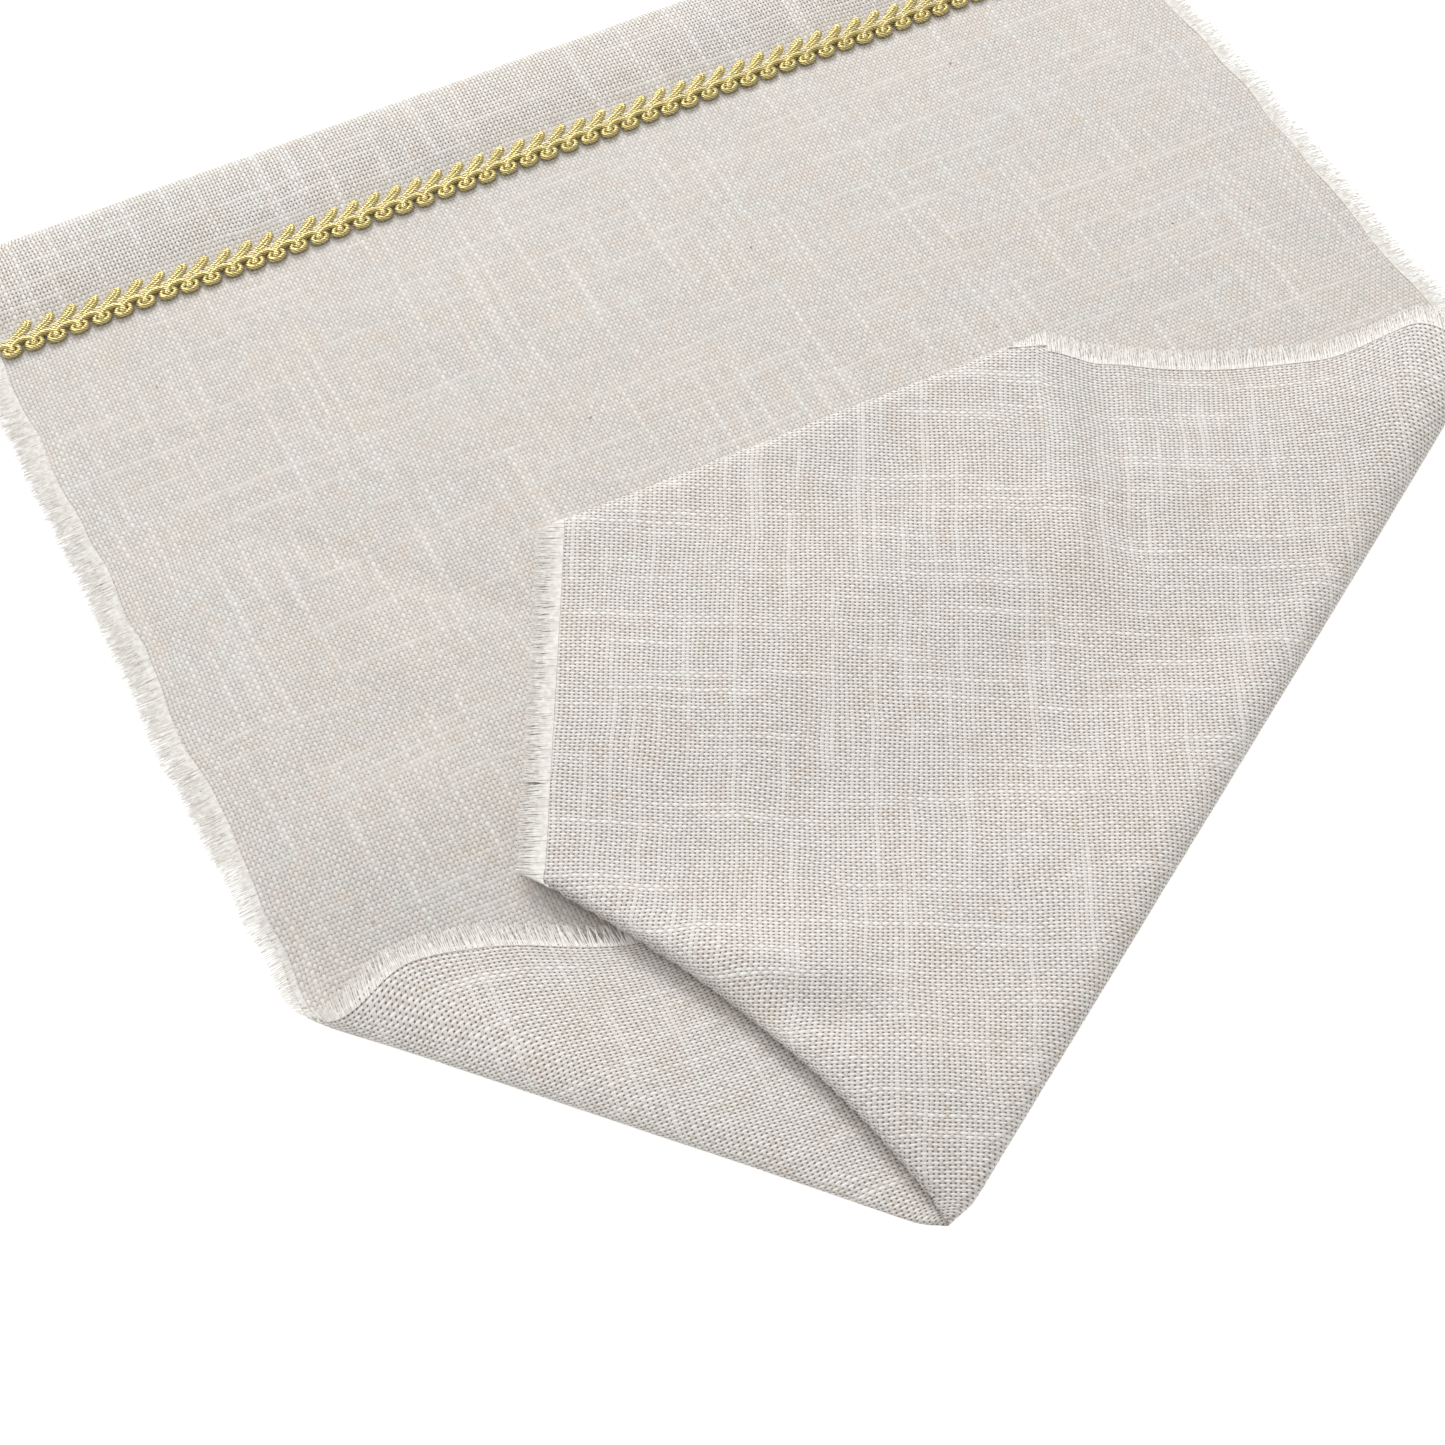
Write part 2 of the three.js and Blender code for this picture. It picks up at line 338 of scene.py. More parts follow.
def level(part, p):
    """How far a part of the cloth lies above the panel, at a place in the plan."""
    rho = (p - tip).length
    closing = settle(rho, tip_settle)
    along_left, off_left = left_crease.places(p)
    along_right, off_right = right_crease.places(p)
    along_pleat, off_pleat = turned_pleat.places(p)
    off_pleat = abs(abs(off_pleat) - bow_of_pleat(along_pleat))
    if part == "base":
        return 0
    corner = fold_gap + (2 * left_roll(along_left)[1] - fold_gap) * near(off_left, corner_fade)
    if part == "corner":
        return corner * closing
    if part == "tuck":
        return 0.7 * fold_gap
    if part == "pleat":
        return (max(fold_gap, corner * near(off_left, pleat_fade)) + fold_gap) * closing
    stacked = ease((bed_back + back_y - p.y) / bed_slope)
    bed = (1.7 + 1.3 * stacked) * fold_gap
    lip = (2 * pleat_roll(along_pleat)[1] - fold_gap) * near(off_pleat, lip_fade)
    side = max(0, 2 * right_roll(along_right)[1] - bed) * near(off_right, side_fade)
    rim = tuck_rim * near(turned_tuck.places(p)[1], rim_fade)
    return (bed + max(0, lip) + side) * closing + rim


# %% [markdown]
# ## Folding one point
# The same rule folds the cloth, its fringe and anything sewn to it.
# Near a crease the cloth goes round a half circle, and further off it lies flat.
# Beyond the back roll it runs to and fro in the hidden layers.

# %% The fold
relax_length = 40 * MM
side_bow = 5 * MM
side_swing = 11 * MM
side_uneven = 2 * MM
tip_blunt = 2.2 * MM
left_turn_y = back_y - left_turn * MM  # where each ravelled side meets its crease
right_turn_y = back_y - right_turn * MM
tuck_turn_y = back_y - tuck_turn * MM
notch_share = 0.3  # places along the turned side, from the tucked fold to the right crease
swing_share = 0.58
side_reach = 45 * MM
crease_clear = 16 * MM
layer_sway = 0.9 * MM


def quarter_length(roll):
    """Length of cloth in a quarter of an ellipse."""
    reach, rise = roll
    return math.pi / 2 * math.sqrt((reach * reach + rise * rise) / 2)


def inward(distance, roll):
    """How far inside the fold's outline a point lies that is this far round the cloth from it."""
    quarter = quarter_length(roll)
    if distance < quarter:
        return roll[0] * (1 - math.cos(math.pi / 2 * distance / quarter))
    return distance - (quarter - roll[0]) * math.exp((quarter - distance) / relax_length)


def part_of(p):
    turn = (angle_of(p - tip) - angle_of(right_crease.along)) % math.tau
    if turn < base_sector:
        return "base"
    if turn < (inner_angle - angle_of(right_crease.along)) % math.tau:
        return "corner"
    if turn < (angle_of(pleat_crease.along) - angle_of(right_crease.along)) % math.tau:
        return "pleat"
    return "tuck" if tuck_crease.places(p)[1] < 0 else "end"


def flat_distance(crease, p, ray=True):
    """Distance along the crease and away from it, measured round the tip where the crease ends."""
    t, off = crease.places(p)
    if ray and t < 0:
        return 0, (p - crease.point).length
    return t, abs(off)


def edge_bow(place):
    """The turned corner's ravelled edge bows out and then runs in under the pleat."""
    x = place.x / MM
    return (6 * bump((x + 137) / 20) - 9 * ease((x + 122) / 35)) * MM


def side_pull(p):
    """How far the turned side's edge is drawn in by its notch, or swings out near the right crease."""
    share = (p.y - tuck_turn_y) / (right_turn_y - tuck_turn_y)
    if not 0 < share < 1:
        return 0
    drawn_in = side_bow * bump((share - notch_share) / 0.3)
    swung_out = side_swing * ease((share - swing_share) / 0.3)
    from_crease = flat_distance(right_crease, p)[1]
    fade = math.exp(-abs(half_width - p.x) / side_reach) * ease(from_crease / crease_clear)
    return (drawn_in - swung_out) * fade


def turn_flat(p):
    """Folded place of a point of the flat front part."""
    part = part_of(p)
    if part == "end":
        p = Vector((p.x - side_pull(p), p.y))
    along_pleat, off_pleat = pleat_crease.places(p)
    under_lip = part == "end" and off_pleat < bow_of_pleat(along_pleat)
    layer = "pleat" if under_lip else part
    place = {
        "base": lambda q: q.copy(),
        "corner": left_crease.mirror,
        "pleat": lambda q: turned_pleat.mirror(right_crease.mirror(q)),
        "end": right_crease.mirror,
        "tuck": lambda q: turned_tuck.mirror(right_crease.mirror(q)),
    }[part](p)
    bends = []  # distance round the cloth to a crease, the crease's roll, and the part beyond it
    if part in ("base", "corner"):
        t, d = flat_distance(left_crease, p)
        roll = left_roll(t)
        place = place - left_crease.across * (inward(d, roll) - d)
        bends.append((d, roll, "corner" if part == "base" else "base"))
    if part in ("base", "end"):
        t, d = flat_distance(right_crease, p)
        roll = right_roll(t)
        place = place + right_crease.across * (inward(d, roll) - d)
        bends.append((d, roll, "end" if part == "base" else "base"))
    if part in ("corner", "pleat"):
        t, d = flat_distance(inner_crease, p)
        roll = inner_roll(t)
        place = place + turned_inner.across * (inward(d, roll) - d)
        bends.append((d, roll, "pleat" if part == "corner" else "corner"))
    if part in ("pleat", "end", "tuck"):
        t, d = flat_distance(pleat_crease, p)
        roll = pleat_roll(t)
        bow = bow_of_pleat(t)
        if part == "pleat":
            round_cloth = d + bow
            wanted = bow + inward(round_cloth, roll) - 2 * bow * ease(d / pleat_relax)
        else:
            round_cloth = abs(d - bow)
            wanted = bow + inward(round_cloth, roll)
        bends.append((round_cloth, roll, "end" if layer == "pleat" else "pleat"))
        place = place - turned_pleat.across * (wanted - d)
    if part in ("end", "tuck"):
        d = flat_distance(tuck_crease, p, ray=False)[1]
        place = place - turned_tuck.across * (inward(d, tuck_roll) - d)
        bends.append((d, tuck_roll, "tuck" if part == "end" else "end"))
    if part == "base":
        from_side = max(0, half_width - abs(p.x))
        coarse = noise.noise(Vector((p.y * 34, p.x * 4, 7.7)))
        uneven = coarse + 0.6 * noise.noise(Vector((p.y * 90, p.x * 4, 2.2)))
        place.x += side_uneven * uneven * math.exp(-from_side / (14 * MM))
    if part == "corner":
        from_edge = max(0, p.x + half_width)
        from_crease = flat_distance(left_crease, p)[1]
        place.y += edge_bow(place) * math.exp(-from_edge / (28 * MM)) * ease(from_crease / crease_clear)
    place.y += tip_blunt * bump((place - tip).length / (5 * MM))
    height = level(layer, place)
    for distance, roll, other in bends:
        quarter = quarter_length(roll)
        if distance < quarter:
            middle = (level(layer, place) + level(other, place)) / 2
            height = middle + (height - middle) * math.sin(math.pi / 2 * distance / quarter)
    lifted = panel_height(place.y - back_y) + height
    wave = soft_wave(place) * min(1, max(0.25, lifted / (5 * MM)))
    return Vector((place.x, place.y, max(sheet_z, lifted + max(0, wave) + creased(layer, place))))


def layer_drift(k):
    """How far sideways hidden layer k lies. The lowest lies straight."""
    return layer_sway * math.sin(2.4 * k + 0.7) if k else 0


def fold(u, y):
    """Folded place of the point at u across the cloth and y along it."""
    run = y - back_y - roll_y
    if run <= 0:
        return turn_flat(Vector((u, y)))
    wave = max(0, soft_wave(Vector((u, back_y + roll_y))))
    crown = panel_height(roll_y) + wave * (1 - ease(run / (8 * MM)))
    radius = (crown - sheet_z) / 2
    if run < math.pi * radius:
        a = math.pi / 2 - run / radius
        behind = back_y + roll_y + roll_radius * math.cos(a)
        return Vector((u, behind, sheet_z + radius + radius * math.sin(a)))
    run -= math.pi * radius
    y, ahead = roll_y, -1
    bend_radius = layer_pitch / 2
    for k in range(layer_count):
        z = sheet_z + k * layer_pitch
        goal = stack_front if ahead < 0 else stack_back
        drift = layer_drift(k)
        if run <= abs(goal - y) or k == layer_count - 1:
            return Vector((u + drift, back_y + y + ahead * run, z))
        run -= abs(goal - y)
        y = goal
        if run <= math.pi * bend_radius:
            a = run / bend_radius
            share = a / math.pi
            return Vector(
                (
                    u + drift * (1 - share) + layer_drift(k + 1) * share,
                    back_y + y + ahead * bend_radius * math.sin(a),
                    z + bend_radius - bend_radius * math.cos(a),
                )
            )
        run -= math.pi * bend_radius
        ahead = -ahead


# %% [markdown]
# ## The linen sheet
# A grid is drawn flat, cut along its creases so that each fold gets its own rows of points,
# given flat coordinates for the weave, and then folded. The hidden layers need rows only at their bends.

# %% Rows of the grid
grid_step = 2.5 * MM
front_rows = round((end_distance + roll_y) / grid_step)
row_marks = [end_y + (end_distance + roll_y) * i / front_rows for i in range(front_rows + 1)]
roll_start = row_marks[-1]
roll_length = math.pi * roll_radius
row_marks += [roll_start + roll_length * (i + 1) / 14 for i in range(14)]
bend_length = math.pi * layer_pitch / 2
mark = row_marks[-1]
last_y = end_y + cloth_length
for k in range(layer_count):
    flat_run = min((roll_y if k == 0 else stack_back) - stack_front, last_y - mark)
    row_marks += [mark + flat_run * (i + 1) / 7 for i in range(7)]
    mark = row_marks[-1]
    if k < layer_count - 1:
        row_marks += [mark + bend_length * (i + 1) / 6 for i in range(6)]
        mark = row_marks[-1]
print(len(row_marks), "rows, sheet", round(row_marks[-1] - row_marks[0], 4), "m long")

# %% The flat grid, cut along its creases
columns = round(cloth_width / grid_step)
sheet = bmesh.new()
bmesh.ops.create_grid(sheet, x_segments=columns, y_segments=len(row_marks) - 1, size=1)
for v in sheet.verts:
    row = round((v.co.y + 1) / 2 * (len(row_marks) - 1))
    v.co = Vector((v.co.x * half_width, row_marks[row], 0))


def cut_along(crease, offsets, ray=True):
    """Cuts the flat sheet along a crease and beside it."""
    for offset in offsets:
        start = crease.point + crease.across * offset
        faces = []
        for f in sheet.faces:
            centre = f.calc_center_median()
            if centre.y > back_y + roll_y:
                continue
            t, off = crease.places(centre.xy)
            if abs(off - offset) < 2 * grid_step and (t > -2 * grid_step or not ray):
                faces.append(f)
        edges = list({e for f in faces for e in f.edges})
        verts = list({v for f in faces for v in f.verts})
        bmesh.ops.bisect_plane(
            sheet,
            geom=verts + edges + faces,
            dist=0.05 * MM,
            plane_co=start.to_3d(),
            plane_no=crease.across.to_3d(),
        )


soft_offsets = [d * MM for d in (-2.2, -1.0, 0, 1.0, 2.2)]
tight_offsets = [d * MM for d in (-1.0, 0, 1.0)]
cut_along(left_crease, soft_offsets)
cut_along(right_crease, soft_offsets)
cut_along(inner_crease, tight_offsets)
cut_along(tuck_crease, tight_offsets, ray=False)

# %% Fold the grid
flat_uv = sheet.loops.layers.uv.new("flat")
openness = sheet.verts.layers.float.new("openness")
hump_front = roll_start - hump_depth


def open_weave(u, y):
    """How open the weave looks: stretched over the roll and in the turned parts, closed on the panel."""
    if y > roll_start:
        return 1
    if part_of(Vector((u, y))) == "base":
        return ease((y - hump_front) / (6 * MM))
    return 1


for f in sheet.faces:
    f.smooth = True
    for loop in f.loops:
        loop[flat_uv].uv = (loop.vert.co.x + half_width, loop.vert.co.y - end_y)
for v in sheet.verts:
    v[openness] = open_weave(v.co.x, v.co.y)
    v.co = fold(v.co.x, v.co.y)
linen = make_piece("linen_sheet", sheet)
thickness = linen.modifiers.new("thickness", "SOLIDIFY")
thickness.thickness = cloth_thickness
thickness.offset = 0
print("linen sheet", len(linen.data.polygons), "faces")

# %% [markdown]
# ## The ravelled edges
# The margins are the sheet's own yarns with the crossing ones pulled out.
# Each yarn is a short tapering thread that leaves the woven edge and leans a little its own way.
# The threads are placed flat and folded by the same rule as the cloth.

# %% Ravelled yarns
dice = random.Random(7)
weft_step = 1.02 * MM
warp_step = 0.86 * MM
yarn_radius = 0.16 * MM
root_inside = 1.5 * MM
root_lift = 0.34 * MM


def ravelled(u, y, out, plies, droop):
    """Short yarns that leave the woven edge at (u, y) in the flat direction out."""
    along = Vector((-out.y, out.x))
    worn = 1 - 0.5 * near((Vector((u, y)) - left_corner).length, 32 * MM)
    found = []
    for ply in range(plies):
        length = fringe_length * dice.uniform(0.86, 1.03) * worn
        lean = dice.gauss(0, 0.09)
        curl = dice.gauss(0, 0.08)
        rise = dice.uniform(-0.15, 0.2) * MM
        start = ((ply + dice.random()) / plies - 0.5) * MM
        thread = []
        for share in (0, 0.35, 0.7, 1):
            reach = -root_inside + (length + root_inside) * share
            aside = start + lean * max(0, reach) + curl * length * share * share
            flat = Vector((u, y)) + out * reach + along * aside
            place = fold(flat.x, flat.y)
            place.z += root_lift * (1 - share) + rise * share - droop * share * share
            place.z = max(place.z, 0.2 * MM)
            thread.append((place, yarn_radius * dice.uniform(0.85, 1.1) * (1.2 - 0.75 * share)))
        found.append(thread)
    return found


def side_yarns(sign, y_from, y_to, step, plies, droop):
    threads = []
    count = max(1, int((y_to - y_from) / step))
    for i in range(count):
        y = y_from + step * (i + 0.5)
        threads += ravelled(sign * half_width, y, Vector((sign, 0)), plies, droop)
    return threads


def hidden_yarns(sign):
    """Ravelled margin of the roll and the layers underneath."""
    return side_yarns(sign, roll_start, roll_start + roll_length, 1.1 * MM, 2, 0) + side_yarns(
        sign, roll_start + roll_length, end_y + cloth_length, 1.5 * MM, 1, 0.3 * MM
    )


fringe_left = make_threads(
    "fringe_left", side_yarns(-1, left_turn_y, roll_start, weft_step, 5, 0.4 * MM) + hidden_yarns(-1)
)
fringe_right = make_threads(
    "fringe_right", side_yarns(1, right_turn_y, roll_start, weft_step, 5, 0.4 * MM) + hidden_yarns(1)
)
fringe_corner = make_threads("fringe_corner", side_yarns(-1, end_y, left_turn_y, weft_step, 3, 0.3 * MM))
fringe_side = make_threads("fringe_side", side_yarns(1, end_y, right_turn_y, weft_step, 3, 0.3 * MM))
end_threads = []
for i in range(int(cloth_width / warp_step)):
    end_threads += ravelled(-half_width + warp_step * (i + 0.5), end_y, Vector((0, -1)), 5, 0.3 * MM)
for i in range(int(cloth_width / (2 * warp_step))):
    u = -half_width + 2 * warp_step * (i + 0.5)
    end_threads += ravelled(u, end_y + cloth_length, Vector((0, 1)), 1, 0)
fringe_end = make_threads("fringe_end", end_threads)

# %% [markdown]
# ## The braid
# Gimp braid is made of stiff cords wound with metallic thread. One cord makes a row of round loops on the
# near side, another makes arcs that lean along the far side, and paler strands are plaited between them.
# Each gimp cord is drawn as two long lines with a round bevel, laid beside each other.

# %% Braid lines
braid_low, braid_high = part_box("braid_centre_chain")
braid_y = (braid_low.y + braid_high.y) / 2
braid_pitch = 5.75 * MM
loop_count = 55
braid_start = -loop_count * braid_pitch / 2
gimp_radius = 0.7 * MM
arc_radius = 0.7 * MM
strand_radius = 0.42 * MM
stitch_radius = 0.14 * MM
sway_size = 0.12 * MM


def rest_height(x, y):
    """Height of the cloth's top under the braid."""
    return panel_height(y - back_y) + max(0, soft_wave(Vector((x, y)))) + sheet_z


def braid_line(steps, rule, radius):
    """A line whose place on the braid is given loop by loop."""
    line = []
    for i in range(loop_count * steps + 1):
        t = i / steps
        x, y, z = rule(t, 2 * math.pi * t)
        x += braid_start + braid_pitch * t
        y += braid_y
        line.append((Vector((x, y, rest_height(x, y) + radius + z)), radius))
    return line


def near_loops(spread):
    """Two cords run round the same loops, one inside the other, so each loop is a full round bead."""

    def rule(t, a):
        sway = sway_size * math.sin(1.9 * t)
        size = 1 - 0.55 * spread
        return (
            3.2 * MM * size * math.sin(a) - 0.3 * MM * (1 - math.cos(a)) + sway,
            -0.6 * MM - (1.45 * size + 0.5 * spread) * MM * (1 - math.cos(a)) + sway,
            (0.5 + 0.4 * spread) * MM + 0.25 * MM * math.cos(a),
        )

    return rule


def far_arcs(spread):
    """Two cords lie side by side and lean along the braid, so each pair makes a leaf."""

    def rule(t, a):
        sway = sway_size * math.sin(2.3 * t + 1)
        return (
            0.6 * MM * math.sin(a) + (2.5 + 0.6 * spread) * MM * (1 - math.cos(a)),
            (1.15 + 0.3 * spread) * MM * (1 - math.cos(a)) - (0.3 + 1.0 * spread) * MM * math.sin(a) + sway,
            0.6 * MM + (0.75 - 0.15 * spread) * MM * (1 - math.cos(a)),
        )

    return rule


def plait(phase):
    def rule(t, a):
        return (
            0.5 * MM * math.sin(2 * a + phase),
            0.75 * MM * math.sin(a + phase) + 0.1 * MM,
            1.25 * MM + 0.4 * MM * math.cos(2 * a + 2 * phase),
        )

    return rule


def stitches():
    """Short sewing stitches over the plait."""
    found = []
    for i in range(2 * loop_count):
        x = braid_start + braid_pitch * (i + 0.5) / 2
        slant = 0.9 * MM * (1 if i % 2 else -1)
        line = []
        for share in (-1, -0.5, 0, 0.5, 1):
            y = braid_y + 1.0 * MM * share
            z = rest_height(x, y) + 2.6 * MM * (1 - 0.35 * share * share)
            line.append((Vector((x + slant * share, y, z)), stitch_radius))
        found.append(line)
    return found


braid_near = make_threads(
    "braid_near_loops", [braid_line(24, near_loops(share), gimp_radius) for share in (0, 1)], 2
)
braid_far = make_threads(
    "braid_far_arcs", [braid_line(20, far_arcs(share), arc_radius) for share in (0.15, 1)], 2
)
braid_plait = make_threads(
    "braid_plait", [braid_line(16, plait(k * math.tau / 3), strand_radius) for k in range(3)], 1
)
braid_stitches = make_threads("braid_stitches", stitches(), 0)

# %% [markdown]
# ## Materials
# The linen's finish is worked out from the flat coordinates, so the weave follows the cloth through its
# folds.
# A small class wraps a socket, so the pattern can be written as ordinary sums.


# %% Shader helpers
class Value:
    """A number that varies over a surface."""

    def __init__(self, finish, socket):
        self.finish, self.socket = finish, socket

    def _math(self, operation, *numbers):
        return self.finish.node("Math", {"operation": operation}, dict(enumerate(numbers)))

    def __add__(self, other):
        return self._math("ADD", self, other)

    def __radd__(self, other):
        return self._math("ADD", other, self)

    def __sub__(self, other):
        return self._math("SUBTRACT", self, other)

    def __rsub__(self, other):
        return self._math("SUBTRACT", other, self)

    def __mul__(self, other):
        return self._math("MULTIPLY", self, other)

    def __rmul__(self, other):
        return self._math("MULTIPLY", other, self)

    def __truediv__(self, other):
        return self._math("DIVIDE", self, other)

    def __gt__(self, other):
        return self._math("GREATER_THAN", self, other)

    def __mod__(self, other):
        return self._math("FLOORED_MODULO", self, other)

    def __abs__(self):
        return self._math("ABSOLUTE", self)

    def floor(self):
        return self._math("FLOOR", self)

    def cosine(self):
        return self._math("COSINE", self)

    def root(self):
        return self._math("SQRT", self)

    def larger(self, other):
        return self._math("MAXIMUM", self, other)

    def between(self, low, high):
        """0 below low, 1 above high, and smooth in between."""
        sockets = {"Value": self, "From Min": low, "From Max": high}
        return self.finish.node("MapRange", {"interpolation_type": "SMOOTHSTEP"}, sockets)


class Finish:
    """One material and its nodes."""

    def __init__(self, name, **uniform):
        self.material = bpy.data.materials.new(name)
        self.material.use_nodes = True
        self.nodes = self.material.node_tree.nodes
        self.links = self.material.node_tree.links
        self.shader = self.nodes["Principled BSDF"]
        for socket, value in uniform.items():
            self.shader.inputs[socket.replace("_", " ")].default_value = value

    def node(self, kind, settings, sockets, output=0):
        made = self.nodes.new("ShaderNode" + kind)
        for key, value in settings.items():
            setattr(made, key, value)
        for key, value in sockets.items():
            self.feed(made.inputs[key], value)
        return Value(self, made.outputs[output])

    def feed(self, socket, value):
        if isinstance(value, Value):
            self.links.new(value.socket, socket)
        else:
            socket.default_value = value

    def set(self, name, value):
        self.feed(self.shader.inputs[name], value)

    def mix(self, factor, a, b, blend="MIX"):
        return self.node("Mix", {"data_type": "RGBA", "blend_type": blend}, {0: factor, 6: a, 7: b}, 2)

    def uv(self, name):
        place = self.node("UVMap", {"uv_map": name}, {})
        return self.node("SeparateXYZ", {}, {0: place}, 0), self.node("SeparateXYZ", {}, {0: place}, 1)

    def at(self, x, y, z=0):
        return self.node("CombineXYZ", {}, {0: x, 1: y, 2: z})

    def noise(self, place, scale, detail=2, roughness=0.5):
        sockets = {"Vector": place, "Scale": scale, "Detail": detail, "Roughness": roughness}
        return self.node("TexNoise", {}, sockets)

    def object_place(self):
        return self.node("TexCoord", {}, {}, "Object")

    def bump(self, height, strength, distance):
        return self.node("Bump", {}, {"Height": height, "Strength": strength, "Distance": distance})


# %% [markdown]
# ## Linen
# Plain weave: each thread goes over one crossing thread and under the next.
# The threads of a slub linen vary in thickness along their length. The thick places, the slubs, are paler.
# Between thin threads there are open holes, painted dark for the shade in them, and the dips beside the
# crossings get painted shade too. The tops of the crossings get a painted highlight. Bits of bark leave tan
# and brown specks.

# %% Linen
warp_per_metre = 1130
weft_per_metre = 930
thread_wander = 2.2  # in threads
slub_rate = 16  # changes of thickness along each metre of thread
slub_swell = 0.1
crimp = 0.55  # how much a thread rises and sinks at its crossings
closed_shade = 0.28
under_shade = 0.31
hole_shade = 0.12


def rounded(off, half):
    """Height of a round thread of this half width, this far from its middle."""
    share = off / half
    return (1 - share * share).larger(0).root()


def weave(finish, u, v, openness):
    """Height, slubs and thread numbers of a plain weave, and where the warp lies on top."""
    place = finish.at(u, v)
    wander_x = finish.noise(place, 55, 3) - 0.5
    wander_y = finish.noise(finish.at(u, v, 0.37), 55, 3) - 0.5
    x = u * warp_per_metre + wander_x * thread_wander
    y = v * weft_per_metre + wander_y * thread_wander
    column, row = x.floor(), y.floor()
    warp_slub = finish.noise(finish.at(column * 0.731, v * slub_rate), 1, 2, 0.6)
    weft_slub = finish.noise(finish.at(u * slub_rate, row * 0.831, 5), 1, 2, 0.6)
    half = 0.352 - 0.075 * openness
    warp_thick = warp_slub.between(0.55, 0.68)
    weft_thick = weft_slub.between(0.54, 0.68)
    warp_half = half + slub_swell * warp_slub + slub_swell * warp_thick
    weft_half = half + slub_swell * weft_slub + slub_swell * weft_thick
    off_x = abs(x - column - 0.5)
    off_y = abs(y - row - 0.5)
    side = 1 - 2 * ((column + row) % 2)
    warp_wave = side * (off_y * math.pi).cosine()
    weft_wave = 0 - side * (off_x * math.pi).cosine()
    warp_top = rounded(off_x, warp_half) * (1 + crimp * warp_wave)
    weft_top = rounded(off_y, weft_half) * (1 + crimp * weft_wave)
    height = warp_top.larger(weft_top)
    warp_above = warp_top > weft_top
    slub = weft_thick + (warp_thick - weft_thick) * warp_above
    return height, slub, column, row, warp_above


linen_finish = Finish("linen_weave", Roughness=0.92, Sheen_Weight=0.12, Sheen_Roughness=0.5)
u, v = linen_finish.uv("flat")
openness = linen_finish.node("Attribute", {"attribute_name": "openness"}, {}, "Fac")
height, slub, column, row, warp_above = weave(linen_finish, u, v, openness)
place = linen_finish.at(u, v)
cloudy = linen_finish.noise(place, 28, 3)
thread_tone = linen_finish.noise(linen_finish.at(column * 5.3 + u * 60, row * 4.7 + v * 60), 1, 1)
fleck_along_weft = linen_finish.noise(linen_finish.at(u * 130, row * 1.7), 1, 1).between(0.635, 0.73)
fleck_along_warp = linen_finish.noise(linen_finish.at(column * 1.9, v * 130, 3), 1, 1).between(0.635, 0.73)
flecks = fleck_along_weft + (fleck_along_warp - fleck_along_weft) * warp_above
specks = linen_finish.noise(place, 420, 1).between(0.785, 0.81)
colour = linen_finish.mix(thread_tone.between(0.3, 0.7), (0.685, 0.65, 0.61, 1), (0.855, 0.828, 0.795, 1))
colour = linen_finish.mix((1 - openness) * closed_shade, colour, (0.40, 0.378, 0.342, 1))
colour = linen_finish.mix(slub * (0.35 + 0.4 * openness), colour, (0.88, 0.86, 0.825, 1))
colour = linen_finish.mix(flecks * 0.5, colour, (0.61, 0.50, 0.36, 1))
colour = linen_finish.mix(specks * 0.8, colour, (0.16, 0.10, 0.07, 1))
blush = linen_finish.noise(place, 150, 3)
tint = linen_finish.mix(cloudy.between(0.35, 0.65), (1.0, 0.985, 0.965, 1), (0.975, 0.98, 0.98, 1))
colour = linen_finish.mix(1, colour, tint, "MULTIPLY")
colour = linen_finish.mix(blush.between(0.5, 0.72) * 0.5, colour, (0.70, 0.60, 0.52, 1))
crossing = height.between(0.5, 1.5)
colour = linen_finish.mix((1 - crossing) * hole_shade * openness, colour, (0.42, 0.375, 0.335, 1))
colour = linen_finish.mix((1 - warp_above) * under_shade, colour, (0.50, 0.465, 0.425, 1))
# Painted highlight: the tops of the crossings where the warp lies over are painted paler, more so in the open
# weave.
crossing_highlight = crossing * warp_above * (0.25 + 0.4 * openness)
colour = linen_finish.mix(crossing_highlight, colour, (0.93, 0.90, 0.87, 1))
# Painted shade: where no thread covers, the open holes are painted dark brown for the shade in them.
covered = height.between(0.02, 0.5)
colour = linen_finish.mix(covered, (0.17, 0.135, 0.105, 1), colour)
linen_finish.set("Base Color", colour)
linen_finish.set("Normal", linen_finish.bump(height, 0.45, 0.35 * MM))
linen.data.materials.append(linen_finish.material)

# %% [markdown]
# ## Yarn ends
# The loose yarns are the same flax. Their paler colour and faint glow are painted light, standing in for the
# light that passes between and through them.

# %% Yarn
# Painted light: the yarn glows faintly in its own colour, standing in for light passing through it.
yarn_finish = Finish("flax_yarn", Roughness=0.9, Sheen_Weight=0.15, Emission_Strength=0.1)
place = yarn_finish.object_place()
tone = yarn_finish.noise(place, 900, 2)
fine = yarn_finish.noise(place, 5000, 2)
colour = yarn_finish.mix(tone.between(0.3, 0.7), (0.75, 0.725, 0.68, 1), (0.90, 0.885, 0.85, 1))
yarn_finish.set("Base Color", yarn_finish.mix(fine.between(0.35, 0.65) * 0.2, colour, (0.7, 0.66, 0.6, 1)))
yarn_finish.set("Emission Color", colour)
yarn_finish.set("Normal", yarn_finish.bump(fine, 0.3, 0.1 * MM))
for piece in (fringe_left, fringe_right, fringe_corner, fringe_side, fringe_end):
    piece.data.materials.append(yarn_finish.material)
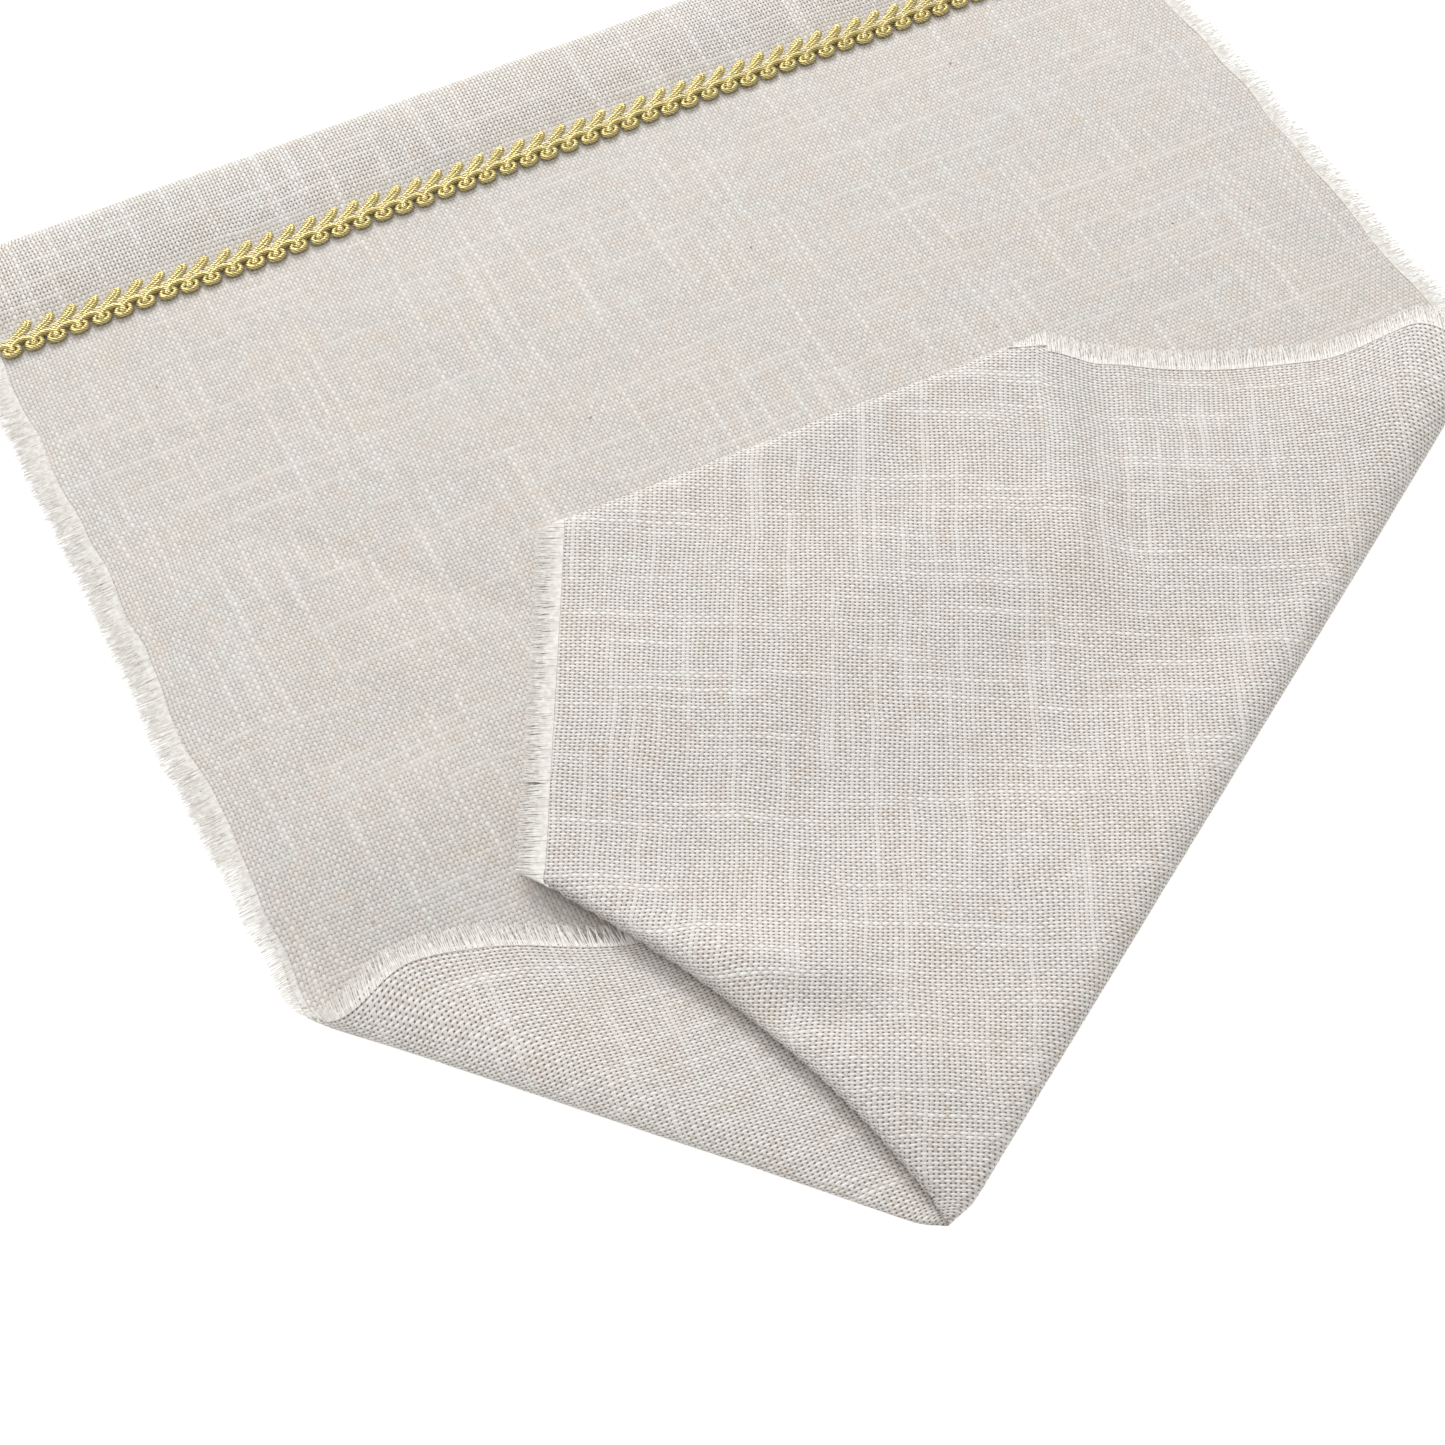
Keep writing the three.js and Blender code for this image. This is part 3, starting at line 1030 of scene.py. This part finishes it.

# %% [markdown]
# ## Gold cord and plait
# The gimp is wound with flat metallic thread, so it glitters in fine turns and goes dark between them. Both
# are painted into its colour: the bright turns and glints as painted highlight, the dark lines as painted
# shade.
# The plaited strands are paler, and the sewing thread is plain.


# %% Gold
def wound(name, dark, light, metallic, roughness):
    """Thread wound round a cord: bright turns with painted highlights, and dark lines of painted shade
    between them.
    """
    finish = Finish(name)
    place = finish.object_place()
    glint = finish.noise(place, 2600, 2)
    broad = finish.noise(place, 420, 2)
    turns = finish.node(
        "TexWave",
        {"wave_type": "BANDS", "bands_direction": "DIAGONAL"},
        {"Vector": place, "Scale": 700, "Distortion": 5, "Detail": 2},
        "Fac",
    )
    ridge = turns * 0.6 + glint * 0.4
    # Painted highlight and shade: the turns and glints are painted bright, the gaps between the turns dark.
    finish.set("Base Color", finish.mix(ridge.between(0.3, 0.7), dark, light))
    finish.set("Metallic", metallic * broad.between(0.1, 0.5))
    finish.set("Roughness", roughness + 0.2 * glint)
    finish.set("Normal", finish.bump(ridge, 0.7, 0.18 * MM))
    return finish.material


gold = wound("gold_thread", (0.36, 0.27, 0.075, 1), (0.93, 0.80, 0.38, 1), 0.62, 0.3)
pale_gold = wound("pale_gold_thread", (0.62, 0.50, 0.27, 1), (1.0, 0.95, 0.82, 1), 0.1, 0.45)
sewing = wound("sewing_thread", (0.55, 0.48, 0.33, 1), (0.95, 0.92, 0.82, 1), 0.0, 0.6)
braid_near.data.materials.append(gold)
braid_far.data.materials.append(gold)
braid_plait.data.materials.append(pale_gold)
braid_stitches.data.materials.append(sewing)

# %% [markdown]
# ## Floor and light
# The runner lies on a plain white floor, which glows a little. A broad soft light stands above and behind it,
# so slopes that face the front are a little darker. A weaker light is higher up, and pale surroundings
# fill the rest.

# %% Floor
floor_shape = bmesh.new()
bmesh.ops.create_grid(floor_shape, x_segments=1, y_segments=1, size=6)
floor = make_piece("floor", floor_shape)
floor.location.z = -0.1 * MM
floor_finish = Finish(
    "floor_white",
    Base_Color=(0.95, 0.95, 0.95, 1),
    Roughness=0.9,
    Emission_Color=(1, 1, 1, 1),
    Emission_Strength=0.5,
)
floor.data.materials.append(floor_finish.material)


# %% Light
def soft_light(name, place, size, power):
    data = bpy.data.lights.new(name, "AREA")
    data.shape = "SQUARE"
    data.size = size
    data.energy = power
    light = bpy.data.objects.new(name, data)
    light.location = place
    light.rotation_mode = "QUATERNION"
    light.rotation_quaternion = (-Vector(place)).to_track_quat("-Z", "Y")
    scene.collection.objects.link(light)


soft_light("back_light", (0.25, 1.45, 1.25), 0.9, 27)
soft_light("top_light", (-0.5, 0.1, 2.0), 1.4, 9)
world = bpy.data.worlds.new("studio")
world.use_nodes = True
world.node_tree.nodes["Background"].inputs["Color"].default_value = (1, 1, 1, 1)
world.node_tree.nodes["Background"].inputs["Strength"].default_value = 0.5
scene.world = world
scene.view_settings.view_transform = "Standard"

# %% [markdown]
# Everything rides on the one body. Each new piece stands for the solids whose space it fills.

# %% Attach to the body
fringes = {
    fringe_left: "fringe_left_side",
    fringe_right: "fringe_right_side",
    fringe_corner: "fringe_turned_corner",
    fringe_side: "fringe_turned_side",
    fringe_end: "fringe_turned_end",
}
owners = {
    linen: ("linen_cloth", "linen"),
    **{piece: (node, "yarn") for piece, node in fringes.items()},
    braid_near: ("braid_front_cord", "gold_cord"),
    braid_far: ("braid_back_cord", "gold_cord"),
    braid_plait: ("braid_centre_chain", "pale_gold"),
    braid_stitches: ("braid_sewing_thread", "sewing_thread"),
}
for piece, (node, slot) in owners.items():
    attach(piece, "root")
    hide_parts(node)
